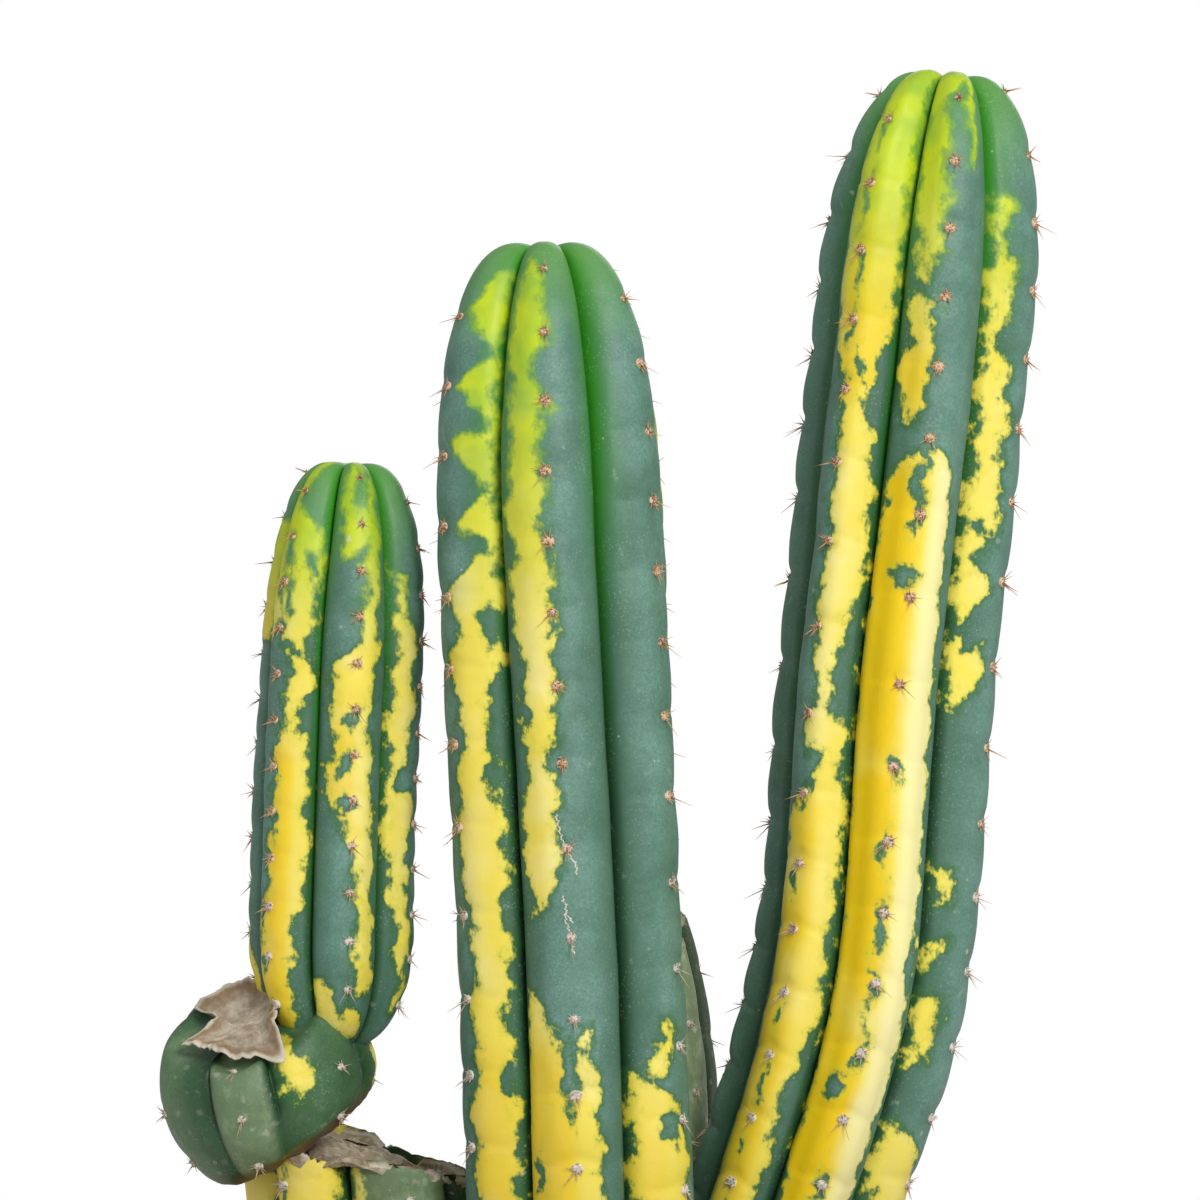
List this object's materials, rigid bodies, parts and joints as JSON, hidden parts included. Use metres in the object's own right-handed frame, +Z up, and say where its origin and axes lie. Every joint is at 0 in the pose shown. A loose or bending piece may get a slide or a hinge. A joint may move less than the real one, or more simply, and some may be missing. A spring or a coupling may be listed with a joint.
{
  "type": "potted columnar cactus",
  "caption": "Tall variegated columnar cactus with ribbed stems, a short column on a squat pup and old cut stumps, rooted in gritty soil in a plain tapered clay pot with a drain hole.",
  "frame": {"origin": "centre of the pot's foot on the ground, which is also the bottom centre of the whole object's box", "axes": "+Z up along the pot's axis, -Y towards the side the plant faces, +X towards the taller, leaning column"},
  "size_m": [0.28, 0.28, 0.591],
  "materials": {
    "pot": "matte",
    "soil": "matte",
    "middle_column": "satin",
    "right_column": "satin",
    "short_column": "satin",
    "squat_pup": "satin",
    "old_stump": "satin",
    "rear_stump": "satin"
  },
  "bodies": {
    "root": {"pot": "pot", "soil": "soil", "middle_column": "middle_column", "right_column": "right_column", "short_column": "short_column", "squat_pup": "squat_pup", "old_stump": "old_stump", "rear_stump": "rear_stump"}
  },
  "joints": []
}
